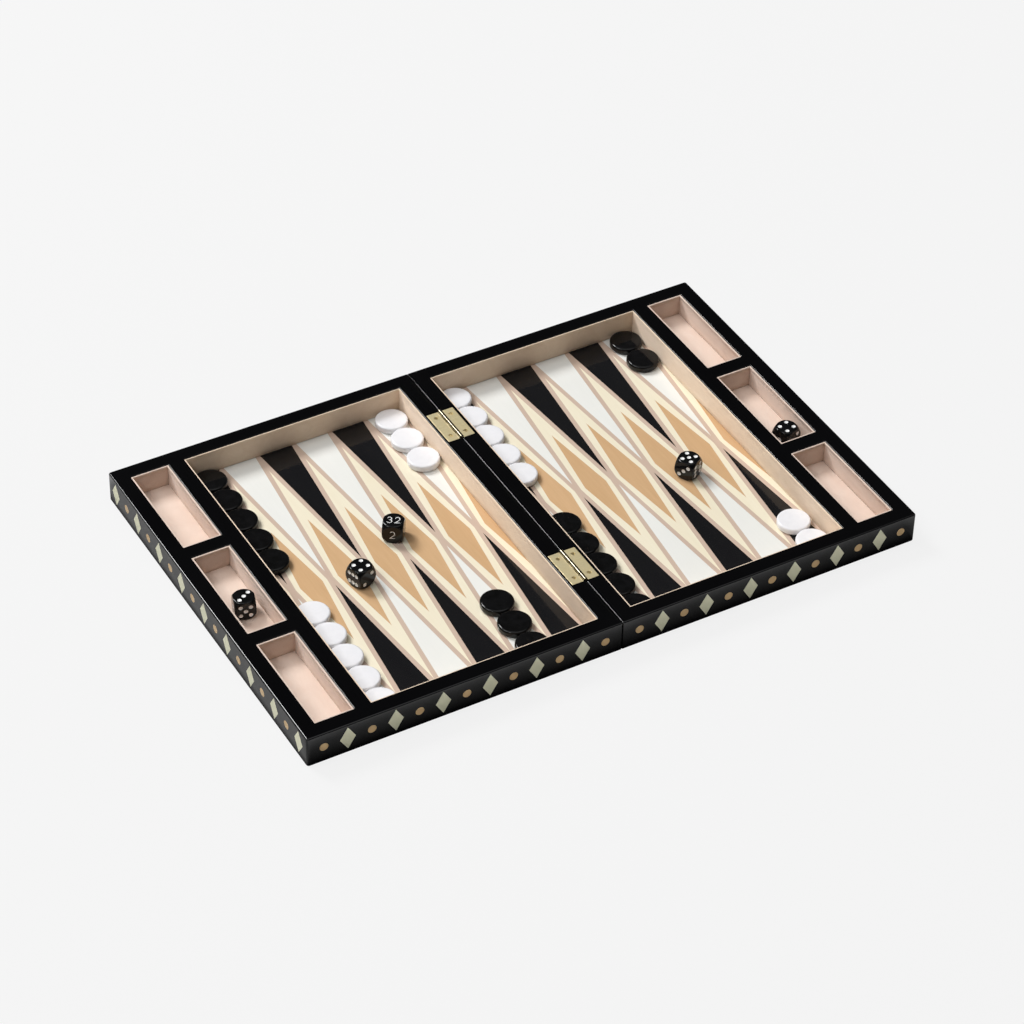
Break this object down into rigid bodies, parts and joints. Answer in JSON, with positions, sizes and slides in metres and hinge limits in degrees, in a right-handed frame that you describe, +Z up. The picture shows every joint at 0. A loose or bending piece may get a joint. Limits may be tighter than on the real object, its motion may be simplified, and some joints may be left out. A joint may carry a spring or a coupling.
{
  "type": "backgammon set",
  "caption": "Open folding backgammon board in black gloss lacquer with inlaid points, lined wells, brass hinges, checkers in their opening places, dice and a doubling cube.",
  "frame": {"origin": "middle of the underside of the open board, on the surface it lies on", "axes": "+X along the open board's long side from the left half to the right half, +Y from the front edge to the back edge, +Z up out of the playing field"},
  "size_m": [0.6, 0.388, 0.0325],
  "materials": {
    "black_lacquer": "black piano lacquer on wood, high gloss, with pale and tan inlays on its sides",
    "base_board": "black painted board, satin",
    "inlaid_veneer": "inlaid points in ivory, black, taupe, cream and tan under clear gloss lacquer",
    "blush_lining": "blush suede lining",
    "brass": "polished brass",
    "pin_brass": "darker brass",
    "white_resin": "polished white resin",
    "black_resin": "polished black resin"
  },
  "bodies": {
    "left_half": {"left_rim": "black_lacquer", "left_base_panel": "base_board", "left_divider_frame": "black_lacquer", "left_field_panel": "inlaid_veneer", "left_field_lining": "blush_lining", "left_front_well_lining": "blush_lining", "left_middle_well_lining": "blush_lining", "left_back_well_lining": "blush_lining", "left_front_hinge_leaf": "brass", "left_back_hinge_leaf": "brass", "front_hinge_pin": "pin_brass", "back_hinge_pin": "pin_brass"},
    "right_half": {"right_rim": "black_lacquer", "right_base_panel": "base_board", "right_divider_frame": "black_lacquer", "right_field_panel": "inlaid_veneer", "right_field_lining": "blush_lining", "right_front_well_lining": "blush_lining", "right_middle_well_lining": "blush_lining", "right_back_well_lining": "blush_lining", "right_front_hinge_leaf": "brass", "right_back_hinge_leaf": "brass"},
    "black_checker_01": {"black_checker_01": "black_resin"},
    "black_checker_02": {"black_checker_02": "black_resin"},
    "black_checker_03": {"black_checker_03": "black_resin"},
    "black_checker_04": {"black_checker_04": "black_resin"},
    "black_checker_05": {"black_checker_05": "black_resin"},
    "white_checker_01": {"white_checker_01": "white_resin"},
    "white_checker_02": {"white_checker_02": "white_resin"},
    "white_checker_03": {"white_checker_03": "white_resin"},
    "white_checker_04": {"white_checker_04": "white_resin"},
    "white_checker_05": {"white_checker_05": "white_resin"},
    "white_checker_06": {"white_checker_06": "white_resin"},
    "white_checker_07": {"white_checker_07": "white_resin"},
    "white_checker_08": {"white_checker_08": "white_resin"},
    "black_checker_06": {"black_checker_06": "black_resin"},
    "black_checker_07": {"black_checker_07": "black_resin"},
    "black_checker_08": {"black_checker_08": "black_resin"},
    "white_checker_09": {"white_checker_09": "white_resin"},
    "white_checker_10": {"white_checker_10": "white_resin"},
    "white_checker_11": {"white_checker_11": "white_resin"},
    "white_checker_12": {"white_checker_12": "white_resin"},
    "white_checker_13": {"white_checker_13": "white_resin"},
    "black_checker_09": {"black_checker_09": "black_resin"},
    "black_checker_10": {"black_checker_10": "black_resin"},
    "black_checker_11": {"black_checker_11": "black_resin"},
    "black_checker_12": {"black_checker_12": "black_resin"},
    "black_checker_13": {"black_checker_13": "black_resin"},
    "black_checker_14": {"black_checker_14": "black_resin"},
    "black_checker_15": {"black_checker_15": "black_resin"},
    "white_checker_14": {"white_checker_14": "white_resin"},
    "white_checker_15": {"white_checker_15": "white_resin"},
    "die_1": {"die_1": "black_resin"},
    "die_2": {"die_2": "black_resin"},
    "die_3": {"die_3": "black_resin"},
    "die_4": {"die_4": "black_resin"},
    "doubling_cube": {"doubling_cube": "black_resin"}
  },
  "joints": [
    {"name": "board_fold", "type": "hinge", "parent": "left_half", "child": "right_half", "pos_m": [0, 0, 0.03045], "axis": [0, 1, 0], "range_deg": [-180, 0]},
    {"name": "black_checker_01_lift", "type": "slide", "parent": "left_half", "child": "black_checker_01", "axis": [0, 0, 1], "range_m": [0, 0.06]},
    {"name": "black_checker_02_lift", "type": "slide", "parent": "left_half", "child": "black_checker_02", "axis": [0, 0, 1], "range_m": [0, 0.06]},
    {"name": "black_checker_03_lift", "type": "slide", "parent": "left_half", "child": "black_checker_03", "axis": [0, 0, 1], "range_m": [0, 0.06]},
    {"name": "black_checker_04_lift", "type": "slide", "parent": "left_half", "child": "black_checker_04", "axis": [0, 0, 1], "range_m": [0, 0.06]},
    {"name": "black_checker_05_lift", "type": "slide", "parent": "left_half", "child": "black_checker_05", "axis": [0, 0, 1], "range_m": [0, 0.06]},
    {"name": "white_checker_01_lift", "type": "slide", "parent": "left_half", "child": "white_checker_01", "axis": [0, 0, 1], "range_m": [0, 0.06]},
    {"name": "white_checker_02_lift", "type": "slide", "parent": "left_half", "child": "white_checker_02", "axis": [0, 0, 1], "range_m": [0, 0.06]},
    {"name": "white_checker_03_lift", "type": "slide", "parent": "left_half", "child": "white_checker_03", "axis": [0, 0, 1], "range_m": [0, 0.06]},
    {"name": "white_checker_04_lift", "type": "slide", "parent": "left_half", "child": "white_checker_04", "axis": [0, 0, 1], "range_m": [0, 0.06]},
    {"name": "white_checker_05_lift", "type": "slide", "parent": "left_half", "child": "white_checker_05", "axis": [0, 0, 1], "range_m": [0, 0.06]},
    {"name": "white_checker_06_lift", "type": "slide", "parent": "left_half", "child": "white_checker_06", "axis": [0, 0, 1], "range_m": [0, 0.06]},
    {"name": "white_checker_07_lift", "type": "slide", "parent": "left_half", "child": "white_checker_07", "axis": [0, 0, 1], "range_m": [0, 0.06]},
    {"name": "white_checker_08_lift", "type": "slide", "parent": "left_half", "child": "white_checker_08", "axis": [0, 0, 1], "range_m": [0, 0.06]},
    {"name": "black_checker_06_lift", "type": "slide", "parent": "left_half", "child": "black_checker_06", "axis": [0, 0, 1], "range_m": [0, 0.06]},
    {"name": "black_checker_07_lift", "type": "slide", "parent": "left_half", "child": "black_checker_07", "axis": [0, 0, 1], "range_m": [0, 0.06]},
    {"name": "black_checker_08_lift", "type": "slide", "parent": "left_half", "child": "black_checker_08", "axis": [0, 0, 1], "range_m": [0, 0.06]},
    {"name": "white_checker_09_lift", "type": "slide", "parent": "right_half", "child": "white_checker_09", "axis": [0, 0, 1], "range_m": [0, 0.06]},
    {"name": "white_checker_10_lift", "type": "slide", "parent": "right_half", "child": "white_checker_10", "axis": [0, 0, 1], "range_m": [0, 0.06]},
    {"name": "white_checker_11_lift", "type": "slide", "parent": "right_half", "child": "white_checker_11", "axis": [0, 0, 1], "range_m": [0, 0.06]},
    {"name": "white_checker_12_lift", "type": "slide", "parent": "right_half", "child": "white_checker_12", "axis": [0, 0, 1], "range_m": [0, 0.06]},
    {"name": "white_checker_13_lift", "type": "slide", "parent": "right_half", "child": "white_checker_13", "axis": [0, 0, 1], "range_m": [0, 0.06]},
    {"name": "black_checker_09_lift", "type": "slide", "parent": "right_half", "child": "black_checker_09", "axis": [0, 0, 1], "range_m": [0, 0.06]},
    {"name": "black_checker_10_lift", "type": "slide", "parent": "right_half", "child": "black_checker_10", "axis": [0, 0, 1], "range_m": [0, 0.06]},
    {"name": "black_checker_11_lift", "type": "slide", "parent": "right_half", "child": "black_checker_11", "axis": [0, 0, 1], "range_m": [0, 0.06]},
    {"name": "black_checker_12_lift", "type": "slide", "parent": "right_half", "child": "black_checker_12", "axis": [0, 0, 1], "range_m": [0, 0.06]},
    {"name": "black_checker_13_lift", "type": "slide", "parent": "right_half", "child": "black_checker_13", "axis": [0, 0, 1], "range_m": [0, 0.06]},
    {"name": "black_checker_14_lift", "type": "slide", "parent": "right_half", "child": "black_checker_14", "axis": [0, 0, 1], "range_m": [0, 0.06]},
    {"name": "black_checker_15_lift", "type": "slide", "parent": "right_half", "child": "black_checker_15", "axis": [0, 0, 1], "range_m": [0, 0.06]},
    {"name": "white_checker_14_lift", "type": "slide", "parent": "right_half", "child": "white_checker_14", "axis": [0, 0, 1], "range_m": [0, 0.06]},
    {"name": "white_checker_15_lift", "type": "slide", "parent": "right_half", "child": "white_checker_15", "axis": [0, 0, 1], "range_m": [0, 0.06]},
    {"name": "die_1_lift", "type": "slide", "parent": "left_half", "child": "die_1", "axis": [0, 0, 1], "range_m": [0, 0.06]},
    {"name": "die_2_lift", "type": "slide", "parent": "left_half", "child": "die_2", "axis": [0, 0, 1], "range_m": [0, 0.06]},
    {"name": "die_3_lift", "type": "slide", "parent": "right_half", "child": "die_3", "axis": [0, 0, 1], "range_m": [0, 0.06]},
    {"name": "die_4_lift", "type": "slide", "parent": "right_half", "child": "die_4", "axis": [0, 0, 1], "range_m": [0, 0.06]},
    {"name": "doubling_cube_lift", "type": "slide", "parent": "left_half", "child": "doubling_cube", "axis": [0, 0, 1], "range_m": [0, 0.06]}
  ]
}
